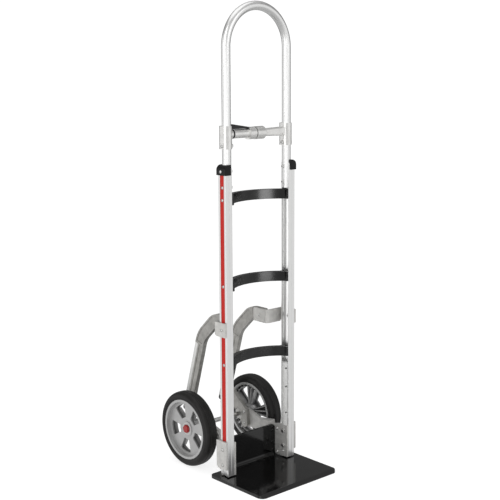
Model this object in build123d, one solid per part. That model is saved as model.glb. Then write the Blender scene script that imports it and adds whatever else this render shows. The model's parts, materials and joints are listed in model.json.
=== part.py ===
from build123d import *
import os
from math import cos, radians, sin, sqrt, tan

# Narrow aisle hand truck, millimetres: X to the right, Y to the rear, Z up from the floor.
# The pieces are drawn with the side rails' centre plane at Y = 0 and moved on export,
# so that the origin is on the floor under the middle of the truck.

# Stance
overall_height = 1524.0
rail_spacing = 270.0
wheel_spacing = 290.0
axle_behind_rails = 186.0

# Side rails
rail_width = 27.0
rail_depth = 36.0
rail_corner = 1.5
stripe_width = 18.0
stripe_thickness = 1.5
stripe_play = 0.2
groove_depth = 3.0
flute_width = 3.2
flute_depth = 0.8
rail_foot_gap = 4.0

# Loop handle and the tubes in the rails' inner channels
tube_diameter = 28.6
tube_wall = 2.2
tube_inset = 7.4
channel_play = 0.2
channel_tube_top = 347.0
channel_tube_wall = 3.0
channel_tube_crown = 8.0
channel_hole_diameter = 6.0
channel_hole_heights = (325.0, 261.0, 170.0)
channel_hole_turn = 45.0

# Rail caps
cap_bottom = 992.0
cap_height = 33.0
cap_wall = 4.0
cap_play = 0.1
cap_shoulder = 17.0
cap_corner = 3.0

# Crossbars
upper_bar_height = 914.0
middle_bar_height = 640.0
lower_bar_height = 384.5
bar_tall = 31.75
bar_deep = 16.0
bar_wall = 3.0
bar_bow = 58.0
bar_setback = 1.0
bar_plate_thick = 8.0
bar_plate_deep = 32.0

# Fasteners
bolt_diameter = 6.35
bolt_play = 0.15
head_diameter = 10.5
head_height = 3.5
head_chamfer = 1.4
nut_across = 11.0
nut_sides = 6
nut_height = 5.0
loop_bolt_height = 953.0
cap_bolt_lift = 11.5
bolt_tip = 2.0

# Handle brace
brace_height = 1117.5
clamp_tall = 71.0
clamp_drop = 9.5
clamp_wall = 3.0
clamp_play = 0.05
clamp_bulk_radius = 18.5
clamp_bulk_back = 6.0
clamp_seat = 18.6
clamp_lug_radius = 7.5
clamp_lug_drop = 36.0
brace_radius = 14.0
brace_ring_radius = 14.5
brace_ring_depth = 2.5
brace_ring_left = -109.0
brace_ring_width = 6.0
brace_collar_radius = 19.5
brace_collar_left = -42.0
brace_joint = -13.0
brace_slit = 2.6
brace_boss_radius = 20.5
brace_boss_length = 35.0
brace_spigot_radius = 11.5
brace_spigot_length = 30.0
brace_taper_length = 9.0
arm_root_radius = 12.0
arm_end_radius = 15.0
arm_thick = 18.0
arm_corner = 6.0
arm_web = 8.0
arm_pocket_inset = 8.0
arm_pocket_root = 2.0
arm_pocket_end = 7.0
arm_flange = 3.0

# Latch lever on the brace
lever_length = 72.0
lever_width = 13.0
lever_tip_thick = 16.0
lever_gap = 1.0
lever_barrel_radius = 4.0
lever_pin_diameter = 4.0
lever_pin_length = 21.0
lever_pin_play = 0.05
lever_slot_play = 0.4
lever_pin_inset = 5.5

# Upper stair climber brackets
upper_bracket_height = 501.0
bracket_tall = 46.0
bracket_bar = 7.0
strap_standoff = 16.0
strap_bend = 9.0
tab_length = 56.0
tab_bolt_behind = 73.0
bracket_chamfer_run = 17.0
bracket_chamfer_rise = 7.0

# Stair climbers
climber_spacing = 160.0
climber_width = 16.0
climber_web = 13.0
climber_depth = 42.0
climber_rim = 6.0
climber_first_turn = 43.5
climber_last_turn = 73.4
climber_first_radius = 80.0
climber_slant = 54.6
climber_last_radius = 110.0
climber_tail_behind_axle = 106.4
climber_tail_above_axle = 33.0
climber_nose_gap = 1.5
climber_top_above_bracket = 25.0
pocket_turn = 15.0
pocket_tail_gap = 76.0
climber_lug_gap = 2.0
knee_above_axle = 94.0
knee_behind_axle = 49.0
foot_toe_ahead = 45.0
foot_toe_above = 24.0
foot_bolt_ahead = 34.0
foot_bolt_below = 24.0
foot_bolt_rise = 40.0
foot_lug_radius = 15.0
foot_lug_width = 14.0
foot_underside = 20.0
foot_seat_margin = 22.5

# Wear strips
strip_inset = 1.5
strip_depth = 15.5
strip_width = 18.0
strip_start = 8.0
strip_stop_length = 16.0
strip_stop_corner = 6.4
tongue_width = 9.0
tongue_depth = 7.0
tongue_play = 0.1

# Wheel brackets
wheel_bracket_top = 131.0
wheel_bracket_bottom = 38.0
wheel_bracket_back = 9.0
wheel_bracket_rear = 31.0
wheel_bracket_chamfer = 7.0
inner_leg_top = 125.0
inner_leg_slope = 9.0
flange_thick = 7.0
flange_reach = 24.0
flange_bottom = 40.0
arm_plate_thick = 12.0
arm_plate_front = 84.0
arm_plate_low = 90.0
arm_plate_high = 130.0
axle_boss_radius = 20.0
axle_boss_length = 26.0
bracket_bolt_heights = (103.5, 52.0)
leg_bolt_places = ((30.0, 105.0), (30.0, 22.0), (1.0, 32.0))

# Axle and wheels
axle_diameter = 15.875
axle_play = 0.05
axle_fit = 0.1
axle_chamfer = 0.8
washer_diameter = 26.0
washer_thick = 2.6
wheel_end_play = 0.4
ring_diameter = 22.0
ring_thick = 1.6
wheel_diameter = 254.0
tyre_width = 50.0
tyre_height = 26.0
tyre_shoulder = 18.0
tyre_shoulder_limit = 0.7
tyre_bead_corner = 3.0
tread_groove = 2.4
tread_groove_offset = 9.0
rim_wall = 8.0
rim_width = 46.0
rim_ridge = 4.0
rim_ridge_width = 10.0
hub_recess = 14.3
hub_length = 46.0
hub_radius = 25.0
disc_setback = 3.0
disc_thick = 8.0
window_inner = 38.0
window_rim_gap = 18.0
window_angle = 37.0
window_corner = 5.0
window_start = 61.0
spoke_count = 5
rib_thick = 4.0
rib_depth = 19.0
rib_count = 3
rib_turn = 12.6
hub_overlap = 3.0
pocket_ring_gap = 7.0
pocket_ring_wall = 2.5
pocket_ring_depth = 12.0
pocket_webs = 30
bearing_diameter = 35.0
bearing_width = 11.0
spacer_diameter = 22.0
hub_cap_radius = 12.0
hub_cap_height = 7.0
hub_cap_corner = 2.0
hub_cap_wall = 2.0

# Nose plate
nose_width = 340.0
nose_length = 252.0
nose_back = 49.0
nose_thick = 10.0
nose_front_corner = 22.0
nose_back_corner = 14.0
nose_bevel_run = 14.0
nose_bevel_drop = 6.0
panel_thick = 8.0
panel_top = 118.0
panel_bend = 13.0
panel_play = 0.5
panel_notch = 10.0
nose_bolt_heights = (58.0, 98.0)
nose_bolt_inset = 14.0

# Places worked out from the sizes above
rail_x = rail_spacing / 2
rail_in = rail_x - rail_width / 2
rail_out = rail_x + rail_width / 2
rail_back = rail_depth / 2
rail_foot = nose_thick + rail_foot_gap
tube_radius = tube_diameter / 2
tube_x = rail_x - tube_inset
channel_radius = tube_radius + channel_play
web_face = tube_x + channel_radius
groove_floor = rail_out - groove_depth
cap_top = cap_bottom + cap_height
rail_top = cap_top - cap_wall
cap_face = rail_out + cap_play + cap_wall
cap_bolt_height = cap_bottom + cap_bolt_lift
loop_foot = upper_bar_height + bar_tall / 2 + cap_wall
bend_height = overall_height - tube_radius - tube_x
bolt_hole = bolt_diameter / 2 + bolt_play
axle_height = wheel_diameter / 2
rim_radius = wheel_diameter / 2 - tyre_height
window_outer = rim_radius - window_rim_gap
wheel_x = wheel_spacing / 2
hub_out = wheel_x + tyre_width / 2 - hub_recess
hub_in = hub_out - hub_length
boss_out = hub_in - wheel_end_play - washer_thick
boss_in = boss_out - axle_boss_length
climber_x = climber_spacing / 2
climber_in = climber_x - climber_width / 2
climber_out = climber_x + climber_width / 2
lug_face = climber_in + bracket_bar
foot_face = climber_in + foot_lug_width
nose_front = nose_back - nose_length
truck_middle = (nose_front + axle_behind_rails + wheel_diameter / 2) / 2
bracket_out = rail_out + bracket_bar
inner_leg_face = rail_in - bracket_bar
panel_front = nose_back - panel_thick
foot_bolt_y = axle_behind_rails - foot_bolt_ahead
foot_bolt_z = axle_height - foot_bolt_below
foot_bolt_places = [(foot_bolt_y, foot_bolt_z), (foot_bolt_y, foot_bolt_z + foot_bolt_rise)]
tab_bolt_place = (tab_bolt_behind, upper_bracket_height)
strap_middle = rail_back + strap_standoff + bracket_bar / 2
climber_nose = strap_middle + strap_bend + climber_nose_gap
tab_end = strap_middle + strap_bend + tab_length
nose_bolt_x = inner_leg_face - nose_bolt_inset
clamp_bottom = brace_height - clamp_drop - clamp_tall / 2
clamp_bolt_height = brace_height - clamp_lug_drop
bar_heights = (upper_bar_height, middle_bar_height, lower_bar_height)


def box(x0, x1, y0, y1, z0, z1):
    place = Pos((x0 + x1) / 2, (y0 + y1) / 2, (z0 + z1) / 2)
    return place * Box(abs(x1 - x0), abs(y1 - y0), abs(z1 - z0))


def rod_x(radius, x0, x1, y, z):
    return Pos((x0 + x1) / 2, y, z) * Rot(0, 90, 0) * Cylinder(radius, abs(x1 - x0))


def rod_y(radius, x, y0, y1, z):
    return Pos(x, (y0 + y1) / 2, z) * Rot(90, 0, 0) * Cylinder(radius, abs(y1 - y0))


def rod_z(radius, x, y, z0, z1):
    return Pos(x, y, (z0 + z1) / 2) * Cylinder(radius, abs(z1 - z0))


def side_plate(outline, x0, x1):
    return extrude(Plane.YZ.offset(x0) * outline, amount=x1 - x0, dir=(1, 0, 0))


def floor_plate(outline, z0, z1):
    return extrude(Pos(0, 0, z0) * outline, amount=z1 - z0, dir=(0, 0, 1))


def left_side(piece):
    return mirror(piece, about=Plane.YZ)


def both_sides(pieces):
    return pieces + [left_side(piece) for piece in pieces]


# A button head bolt along X: the head stands outward of head_x, the shank ends at tip_x.
def bolt_x(head_x, tip_x, y, z):
    outward = 1 if head_x > tip_x else -1
    head = rod_x(head_diameter / 2, head_x, head_x + outward * head_height, y, z)
    crown = head.edges().filter_by(GeomType.CIRCLE).sort_by(Axis.X)[-1 if outward > 0 else 0]
    head = chamfer(crown, head_chamfer)
    return head + rod_x(bolt_diameter / 2, tip_x, head_x + outward * head_height / 2, y, z)


def nut_x(seat_x, far_x, y, z):
    hexagon = Pos(y, z) * RegularPolygon(nut_across / 2, nut_sides, major_radius=False)
    body = side_plate(hexagon, min(seat_x, far_x), max(seat_x, far_x))
    return body - rod_x(bolt_hole, seat_x, far_x, y, z)


# A nut stands off the round channel wall by as much as its corners need to clear it.
nut_corner = nut_across / 2 / cos(radians(180.0 / nut_sides))
channel_sag = channel_radius - sqrt(channel_radius**2 - nut_corner**2)
channel_seat = web_face - channel_sag


def make_rail():
    section = Pos(rail_x, 0) * RectangleRounded(rail_width, rail_depth, rail_corner)
    section -= Pos(tube_x, 0) * Circle(channel_radius)
    groove_width = stripe_width + 2 * stripe_play
    section -= Pos(rail_out - groove_depth / 2, 0) * Rectangle(groove_depth, groove_width)
    for face in (-rail_back, rail_back):
        section -= Pos(rail_x, face) * Rectangle(flute_width, 2 * flute_depth)
    rail = floor_plate(section, rail_foot, rail_top)
    heights = (cap_bolt_height, loop_bolt_height, upper_bracket_height) + bar_heights + bracket_bolt_heights
    for height in heights:
        rail -= rod_x(bolt_hole, rail_in, rail_out, 0, height)
    return rail


def make_stripe():
    stripe = box(groove_floor, groove_floor + stripe_thickness, -stripe_width / 2, stripe_width / 2,
                 wheel_bracket_top, cap_bottom)
    for height in (loop_bolt_height,) + bar_heights:
        stripe -= rod_x(head_diameter / 2 + bolt_play, groove_floor, rail_out, 0, height)
    return stripe - rod_x(bolt_hole, groove_floor, rail_out, 0, upper_bracket_height)


def make_cap():
    side = rail_back + cap_play + cap_wall
    cap = box(tube_x, cap_face, -side, side, cap_bottom, cap_top)
    cap = fillet(cap.edges().filter_by(Axis.Y).group_by(Axis.Z)[-1].sort_by(Axis.X)[-1], cap_shoulder)
    cap = fillet(cap.edges().filter_by(Axis.Z).group_by(Axis.X)[-1], cap_corner)
    play = cap_play
    cap -= box(rail_in - play, rail_out + play, -rail_back - play, rail_back + play, cap_bottom, rail_top)
    cap -= rod_z(channel_radius, tube_x, 0, cap_bottom, cap_top)
    return cap - rod_x(bolt_hole, rail_x, cap_face, 0, cap_bolt_height)


def make_channel_tube():
    tube = rod_z(tube_radius, tube_x, 0, inner_leg_top, channel_tube_top)
    tube = fillet(tube.edges().sort_by(Axis.Z)[-1], channel_tube_crown)
    bore_top = channel_tube_top - channel_tube_wall
    bore = rod_z(tube_radius - channel_tube_wall, tube_x, 0, inner_leg_top, bore_top)
    bore = fillet(bore.edges().sort_by(Axis.Z)[-1], channel_tube_crown - channel_tube_wall)
    tube -= bore
    hole = rod_x(channel_hole_diameter / 2, -tube_radius, 0, 0, 0)
    for height in channel_hole_heights:
        tube -= Pos(tube_x, 0, height) * Rot(0, 0, channel_hole_turn) * hole
    return tube


def make_loop_handle():
    ring = Circle(tube_radius) - Circle(tube_radius - tube_wall)
    legs = [floor_plate(Pos(side * tube_x, 0) * ring, loop_foot, bend_height) for side in (-1, 1)]
    bend_axis = Axis((0, 0, bend_height), (0, -1, 0))
    bend = revolve(Pos(tube_x, 0, bend_height) * ring, bend_axis, 180)
    loop = legs[0] + bend + legs[1]
    for height in (cap_bolt_height, loop_bolt_height, clamp_bolt_height):
        loop -= rod_x(bolt_hole, -rail_out, rail_out, 0, height)
    return loop


def make_crossbar(height):
    half_span = rail_in
    front = -rail_back + bar_setback
    radius = (half_span**2 + bar_bow**2) / (2 * bar_bow)
    centre = front + bar_bow - radius
    window = Pos(0, front + bar_bow) * Rectangle(2 * half_span, 2 * bar_bow)
    arc = (Circle(radius + bar_deep) - Circle(radius)).moved(Pos(0, centre)) & window
    low = height - bar_tall / 2
    high = height + bar_tall / 2
    bar = floor_plate(arc, low, high)
    pocket = (Circle(radius + bar_deep) - Circle(radius + bar_wall)).moved(Pos(0, centre))
    pocket &= Pos(0, front + bar_bow) * Rectangle(2 * (half_span - bar_plate_thick), 2 * bar_bow)
    bar -= floor_plate(pocket, low + bar_wall, high - bar_wall)
    for side in (-1, 1):
        plate_x = side * (half_span - bar_plate_thick)
        bar += box(plate_x, side * half_span, front, front + bar_plate_deep, low, high)
        bar -= rod_x(bolt_hole, plate_x, side * half_span, 0, height)
    return bar


def make_loop_bolts():
    pieces = []
    nut_seat = tube_x - tube_radius
    for height, seat in ((cap_bolt_height, cap_face), (loop_bolt_height, groove_floor)):
        pieces.append(bolt_x(seat, nut_seat - nut_height, 0, height))
        pieces.append(nut_x(nut_seat, nut_seat - nut_height, 0, height))
    return both_sides(pieces)


def make_crossbar_bolts():
    tip = rail_in - bar_plate_thick + bolt_tip
    return both_sides([bolt_x(groove_floor, tip, 0, height) for height in bar_heights])


lever_pin_x = brace_collar_left + lever_pin_inset
lever_pin_z = brace_height + brace_collar_radius - lever_barrel_radius
lever_left = lever_pin_x - lever_length
lever_half = lever_width / 2


def clamp_rod(radius, side):
    return rod_x(radius, side * (tube_x - clamp_seat), side * (tube_x + clamp_seat), 0, clamp_bolt_height)


def clamp_sleeve(side):
    top = clamp_bottom + clamp_tall
    sleeve = rod_z(tube_radius + clamp_wall, side * tube_x, 0, clamp_bottom, top)
    sleeve += rod_z(clamp_bulk_radius, side * tube_x, clamp_bulk_back, clamp_bottom, top)
    return sleeve + clamp_rod(clamp_lug_radius, side)


def clamp_holes(side):
    bore = rod_z(tube_radius + clamp_play, side * tube_x, 0, clamp_bottom, clamp_bottom + clamp_tall)
    return bore + clamp_rod(bolt_hole, side)


def brace_ring(play):
    inner = brace_ring_radius - brace_ring_depth - play
    section = Pos(brace_ring_left + brace_ring_width / 2, (inner + brace_ring_radius) / 2) * Rectangle(
        brace_ring_width + 2 * play, brace_ring_radius - inner)
    return Pos(0, 0, brace_height) * revolve(section, Axis.X)


def make_left_clamp():
    clamp = clamp_sleeve(-1)
    end = brace_joint - brace_slit
    clamp += rod_x(brace_radius, -tube_x, end, 0, brace_height)
    clamp += rod_x(brace_collar_radius, brace_collar_left, end, 0, brace_height)
    clamp += rod_x(brace_spigot_radius, end, brace_joint + brace_spigot_length, 0, brace_height)
    slot = lever_half + lever_slot_play
    slot_floor = lever_pin_z - lever_barrel_radius - lever_slot_play
    slot_end = lever_pin_x + lever_barrel_radius + lever_slot_play
    clamp -= box(brace_collar_left, slot_end, -slot, slot, slot_floor, brace_height + 2 * brace_collar_radius)
    return clamp - make_lever_pin() - brace_ring(bolt_play) - clamp_holes(-1)


def make_brace_ring():
    return brace_ring(0)


def make_right_clamp():
    clamp = clamp_sleeve(1)
    boss_end = brace_joint + brace_boss_length
    arm_start = boss_end + brace_taper_length
    clamp += rod_x(brace_boss_radius, brace_joint, boss_end, 0, brace_height)
    root = Plane.YZ.offset(boss_end) * Pos(0, brace_height)
    neck = Plane.YZ.offset(arm_start) * Pos(0, brace_height)
    clamp += loft([root * Circle(brace_boss_radius), neck * Circle(arm_root_radius)])
    outline = Polygon((boss_end, brace_height - arm_root_radius), (tube_x, brace_height - arm_end_radius),
                      (tube_x, brace_height + arm_end_radius), (boss_end, brace_height + arm_root_radius),
                      align=None)
    arm = extrude(Plane.XZ.offset(-arm_thick / 2) * outline, amount=arm_thick)
    arm = fillet([edge for edge in arm.edges() if abs((edge % 0.5).X) > 0.9], arm_corner)
    near_x = arm_start + arm_pocket_inset
    far_x = tube_x - clamp_bulk_radius - arm_flange
    low_root = brace_height - arm_root_radius + arm_flange
    low_end = brace_height - arm_end_radius + arm_flange
    recess = Polygon((near_x, low_root), (far_x, low_end), (far_x, low_end + arm_pocket_end),
                     (near_x, low_root + arm_pocket_root), align=None)
    for face in (-arm_web / 2, arm_end_radius):
        arm -= extrude(Plane.XZ.offset(-face) * recess, amount=arm_end_radius - arm_web / 2)
    clamp += arm
    socket = brace_spigot_radius + clamp_play
    clamp -= rod_x(socket, brace_joint, brace_joint + brace_spigot_length, 0, brace_height)
    return clamp - clamp_holes(1)


def make_lever():
    under = brace_height + brace_radius + lever_gap
    outline = Polygon(
        (lever_left, under),
        (lever_pin_x, under),
        (lever_pin_x, lever_pin_z + lever_barrel_radius),
        (lever_left, under + lever_tip_thick),
        align=None)
    lever = extrude(Plane.XZ.offset(-lever_half) * outline, amount=lever_width)
    lever += rod_y(lever_barrel_radius, lever_pin_x, -lever_half, lever_half, lever_pin_z)
    bore = lever_pin_diameter / 2 + lever_pin_play
    return lever - rod_y(bore, lever_pin_x, -lever_half, lever_half, lever_pin_z)


def make_lever_pin():
    reach = lever_pin_length / 2
    return rod_y(lever_pin_diameter / 2, lever_pin_x, -reach, reach, lever_pin_z)


def make_clamp_bolts():
    seat = tube_x + clamp_seat
    nut_seat = tube_x - clamp_seat
    tip = nut_seat - nut_height
    return both_sides([bolt_x(seat, tip, 0, clamp_bolt_height), nut_x(nut_seat, tip, 0, clamp_bolt_height)])


def make_upper_bracket():
    leg = rail_out + bracket_bar / 2
    tab = lug_face - bracket_bar / 2
    points = [(leg, -rail_back), (leg, strap_middle), (tab, strap_middle), (tab, tab_end)]
    path = FilletPolyline(*points, radius=strap_bend)
    start = Plane(origin=(leg, -rail_back, upper_bracket_height), x_dir=(0, 0, 1), z_dir=(0, 1, 0))
    bar = sweep(start * Rectangle(bracket_tall, bracket_bar), path.moved(Pos(0, 0, upper_bracket_height)))
    low = upper_bracket_height - bracket_tall / 2
    rear = strap_middle + bracket_bar / 2
    corner = Polygon((rear, low), (rear, low + bracket_chamfer_rise), (rear - bracket_chamfer_run, low),
                     align=None)
    bar -= side_plate(corner, rail_x, bracket_out)
    bar -= rod_x(bolt_hole, rail_out, bracket_out, 0, upper_bracket_height)
    return bar - rod_x(bolt_hole, lug_face - bracket_bar, lug_face, *tab_bolt_place)


def make_upper_bracket_bolts():
    tip = channel_seat - nut_height
    bolt = bolt_x(bracket_out, tip, 0, upper_bracket_height)
    nut = nut_x(channel_seat, tip, 0, upper_bracket_height)
    return both_sides([bolt, nut])


# The climber's rear edge runs level, turns onto a slant, turns again and runs straight to its tail.
turn_one = radians(climber_first_turn)
turn_two = radians(climber_last_turn)
climber_top = upper_bracket_height + climber_top_above_bracket
tail_y = axle_behind_rails + climber_tail_behind_axle
tail_z = axle_height + climber_tail_above_axle
first_run = climber_first_radius * sin(turn_one)
first_drop = climber_first_radius * (1 - cos(turn_one))
slant_run = climber_slant * cos(turn_one)
slant_drop = climber_slant * sin(turn_one)
last_run = climber_last_radius * (sin(turn_two) - sin(turn_one))
last_drop = climber_last_radius * (cos(turn_one) - cos(turn_two))
straight_top_z = climber_top - first_drop - slant_drop - last_drop
straight_drop = straight_top_z - tail_z
straight_top_y = tail_y - straight_drop / tan(turn_two)
level_end = straight_top_y - last_run - slant_run - first_run
first_centre = (level_end, climber_top - climber_first_radius)
last_centre = (straight_top_y - climber_last_radius * sin(turn_two),
               straight_top_z - climber_last_radius * cos(turn_two))
straight_length = straight_drop / sin(turn_two)


# A point beside the straight part: along it from its top, and inward from the rear edge.
def beside_straight(along, inward):
    y = straight_top_y + along * cos(turn_two) - inward * sin(turn_two)
    z = straight_top_z - along * sin(turn_two) - inward * cos(turn_two)
    return (y, z)


# An arc of the bow, measured in degrees of turn from its level top.
def bow_arc(centre, radius, start_turn, end_turn):
    return CenterArc(centre, radius, 90.0 - end_turn, end_turn - start_turn)


# Both arcs of the bow at a depth inward from its rear edge, and the slant that joins them.
def bow_lines(inward, start_turn):
    one = bow_arc(first_centre, climber_first_radius - inward, start_turn, climber_first_turn)
    two = bow_arc(last_centre, climber_last_radius - inward, climber_first_turn, climber_last_turn)
    return [one, Line(one @ 0, two @ 1), two]


def climber_band():
    deep = climber_depth
    tail = beside_straight(straight_length, deep)
    rear = [Line((climber_nose, climber_top), (level_end, climber_top)),
            Line(beside_straight(0, 0), (tail_y, tail_z))]
    front = [Line((tail_y, tail_z), tail), Line(tail, beside_straight(0, deep)),
             Line((level_end, climber_top - deep), (climber_nose, climber_top - deep)),
             Line((climber_nose, climber_top - deep), (climber_nose, climber_top))]
    return make_face(rear + bow_lines(0, 0) + front + bow_lines(deep, 0))


def bow_pocket():
    outer = bow_lines(climber_rim, pocket_turn)
    inner = bow_lines(climber_depth - climber_rim, pocket_turn)
    ends = [Line(outer[0] @ 1, inner[0] @ 1), Line(outer[2] @ 0, inner[2] @ 0)]
    return make_face(outer + inner + ends)


def climber_foot():
    knee = (axle_behind_rails + knee_behind_axle, axle_height + knee_above_axle)
    toe_y = axle_behind_rails - foot_toe_ahead
    underside = axle_height + foot_underside
    return Polygon(
        knee,
        (toe_y, axle_height + foot_toe_above),
        (foot_bolt_y - foot_lug_radius, foot_bolt_z),
        (foot_bolt_y + foot_lug_radius, foot_bolt_z),
        (axle_behind_rails + foot_underside, underside),
        (tail_y - strip_depth / 2, underside),
        (tail_y, tail_z),
        beside_straight(straight_length / 2, climber_depth / 2),
        align=None)


strip_end = straight_length - strip_stop_length


def strip_zone(start, end, rear, front):
    return Polygon(beside_straight(start, rear), beside_straight(end, rear), beside_straight(end, front),
                   beside_straight(start, front), align=None)


def make_climber():
    climber = side_plate(climber_band(), climber_in, climber_out)
    climber += side_plate(climber_foot(), climber_in, climber_out)
    climber += rod_x(foot_lug_radius, climber_in, climber_out, foot_bolt_y, foot_bolt_z)
    leg_end = straight_length - pocket_tail_gap
    leg_pocket = Polygon(beside_straight(strip_start, strip_depth + climber_rim),
                         beside_straight(strip_start, climber_depth - climber_rim),
                         beside_straight(leg_end, climber_depth - climber_rim),
                         beside_straight(leg_end, strip_depth + climber_rim), align=None)
    web_in = climber_x - climber_web / 2
    web_out = climber_x + climber_web / 2
    for pocket in (bow_pocket(), leg_pocket):
        climber -= side_plate(pocket, climber_in, web_in)
        climber -= side_plate(pocket, web_out, climber_out)
    strip_space = strip_zone(strip_start, straight_length + climber_depth, -climber_rim, strip_depth)
    climber -= side_plate(strip_space, climber_in, climber_out)
    tongue_in = climber_x - tongue_width / 2
    tongue = strip_zone(strip_start, strip_end, strip_depth - tongue_depth, strip_depth + climber_rim)
    climber += side_plate(tongue, tongue_in, tongue_in + tongue_width)
    over = climber_rim
    lug_end = tab_end + climber_lug_gap
    climber -= box(climber_in - over, lug_face, climber_nose - over, lug_end,
                   climber_top - climber_depth - over, climber_top + over)
    climber -= rod_x(axle_boss_radius + bolt_play, climber_in, climber_out, axle_behind_rails, axle_height)
    seat = Pos(foot_bolt_y, foot_bolt_z + foot_bolt_rise / 2) * Rectangle(
        foot_toe_ahead + foot_bolt_ahead, foot_bolt_rise + 2 * foot_seat_margin)
    climber -= side_plate(seat, foot_face, climber_out)
    climber -= rod_x(bolt_hole, lug_face, climber_out, *tab_bolt_place)
    for place in foot_bolt_places:
        climber -= rod_x(bolt_hole, climber_in, foot_face, *place)
    return climber


def make_strip():
    strip_in = climber_x - strip_width / 2
    body = strip_zone(strip_start, strip_end, strip_inset, strip_depth)
    strip = side_plate(body, strip_in, strip_in + strip_width)
    slot_width = tongue_width + 2 * tongue_play
    slot_in = climber_x - slot_width / 2
    slot = strip_zone(strip_start - climber_rim, strip_end + climber_rim,
                      strip_depth - tongue_depth - tongue_play, strip_depth + climber_rim)
    return strip - side_plate(slot, slot_in, slot_in + slot_width)


def make_strip_stops():
    outline = strip_zone(strip_end, straight_length, strip_inset, strip_depth)
    stop = side_plate(outline, climber_in, climber_out)
    stop = fillet(stop.edges().filter_by(Axis.X).sort_by(Axis.Y)[-1], strip_stop_corner)
    return both_sides([stop])


def make_climber_bolts():
    tab_in = lug_face - bracket_bar
    tab_tip = climber_out + nut_height
    pieces = [bolt_x(tab_in, tab_tip, *tab_bolt_place), nut_x(climber_out, tab_tip, *tab_bolt_place)]
    plate_out = foot_face + arm_plate_thick
    for place in foot_bolt_places:
        pieces.append(bolt_x(climber_in, plate_out + nut_height, *place))
        pieces.append(nut_x(plate_out, plate_out + nut_height, *place))
    return both_sides(pieces)


def make_wheel_bracket():
    back = rail_back + wheel_bracket_back
    low = wheel_bracket_bottom
    rear = wheel_bracket_rear
    cut = wheel_bracket_chamfer
    outer_leg = Polygon((-rail_back, low), (rear - cut, low), (rear, low + cut), (rear, wheel_bracket_top),
                        (-rail_back, wheel_bracket_top), align=None)
    bracket = side_plate(outer_leg, rail_out, bracket_out)
    flange_back = nose_back + flange_thick
    rear_top = inner_leg_top - inner_leg_slope
    inner_leg = Polygon((-rail_back, rail_foot), (flange_back, rail_foot), (flange_back, rear_top),
                        (rail_back, inner_leg_top), (-rail_back, inner_leg_top), align=None)
    bracket += side_plate(inner_leg, inner_leg_face, rail_in)
    bracket += box(inner_leg_face, bracket_out, rail_back, back, low + cut, rear_top)
    flange_in = inner_leg_face - flange_reach
    bracket += box(flange_in, rail_in, nose_back, flange_back, flange_bottom, arm_plate_high)
    plate_out = foot_face + arm_plate_thick
    arm_end = arm_plate_front + 2 * arm_plate_thick
    arm = Polygon((flange_in, nose_back), (rail_in, nose_back), (rail_in, flange_back), (plate_out, arm_end),
                  (foot_face, arm_end), (foot_face, arm_plate_front), align=None)
    bracket += floor_plate(arm, arm_plate_low, arm_plate_high)
    plate = Polygon((arm_plate_front, arm_plate_low),
                    (foot_bolt_y, foot_bolt_z - foot_lug_radius),
                    (axle_behind_rails, axle_height - axle_boss_radius),
                    (axle_behind_rails, axle_height + axle_boss_radius),
                    (foot_bolt_y, foot_bolt_z + foot_bolt_rise + foot_lug_radius / 2),
                    (arm_plate_front, arm_plate_high), align=None)
    bracket += side_plate(plate, foot_face, plate_out)
    bracket += rod_x(axle_boss_radius, boss_in, boss_out, axle_behind_rails, axle_height)
    bracket -= rod_x(axle_diameter / 2 + axle_fit, boss_in, boss_out, axle_behind_rails, axle_height)
    for place in foot_bolt_places:
        bracket -= rod_x(bolt_hole, foot_face, plate_out, *place)
    for height in bracket_bolt_heights:
        bracket -= rod_x(bolt_hole, inner_leg_face, bracket_out, 0, height)
    for place in leg_bolt_places:
        bracket -= rod_x(bolt_hole, inner_leg_face, rail_in, *place)
    for height in nose_bolt_heights:
        bracket -= rod_y(bolt_hole, nose_bolt_x, nose_back, flange_back, height)
    return bracket


def make_bracket_bolts():
    tip = inner_leg_face - nut_height
    pieces = []
    for height in bracket_bolt_heights:
        pieces.append(bolt_x(bracket_out, tip, 0, height))
        pieces.append(nut_x(inner_leg_face, tip, 0, height))
    for place in leg_bolt_places:
        pieces.append(bolt_x(inner_leg_face, rail_in - bolt_tip, *place))
    return both_sides(pieces)


def on_axle(piece):
    return Pos(0, axle_behind_rails, axle_height) * piece


def turned(section):
    return on_axle(revolve(section, Axis.X))


def ring_section(x0, x1, r0, r1):
    return Pos((x0 + x1) / 2, (r0 + r1) / 2) * Rectangle(abs(x1 - x0), abs(r1 - r0))


axle_end = hub_out + wheel_end_play + 2 * ring_thick


def make_axle():
    axle = rod_x(axle_diameter / 2, -axle_end, axle_end, axle_behind_rails, axle_height)
    return chamfer(axle.edges().filter_by(GeomType.CIRCLE), axle_chamfer)


def make_axle_washers():
    bore = axle_diameter / 2 + axle_fit
    section = ring_section(boss_out, boss_out + washer_thick, bore, washer_diameter / 2)
    return both_sides([turned(section)])


def make_axle_rings():
    start = hub_out + wheel_end_play
    section = ring_section(start, start + ring_thick, axle_diameter / 2, ring_diameter / 2)
    return both_sides([turned(section)])


def make_tyre():
    section = ring_section(wheel_x - tyre_width / 2, wheel_x + tyre_width / 2, rim_radius, wheel_diameter / 2)
    tread = section.vertices().group_by(Axis.Y)[-1]
    section = fillet(tread, min(tyre_shoulder, tyre_height * tyre_shoulder_limit))
    bead = section.vertices().group_by(Axis.Y)[0]
    section = fillet(bead, tyre_bead_corner)
    for side in (-1, 1):
        middle = wheel_x + side * tread_groove_offset
        section -= Pos(middle, wheel_diameter / 2) * Rectangle(tread_groove, tread_groove, rotation=45)
    section -= ring_section(wheel_x - rim_ridge_width / 2, wheel_x + rim_ridge_width / 2,
                            rim_radius, rim_radius + rim_ridge)
    return turned(section)


disc_out = hub_out - disc_setback
disc_in = disc_out - disc_thick
rim_in = wheel_x - rim_width / 2
rim_out = wheel_x + rim_width / 2
rim_floor = rim_radius - rim_wall


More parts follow.
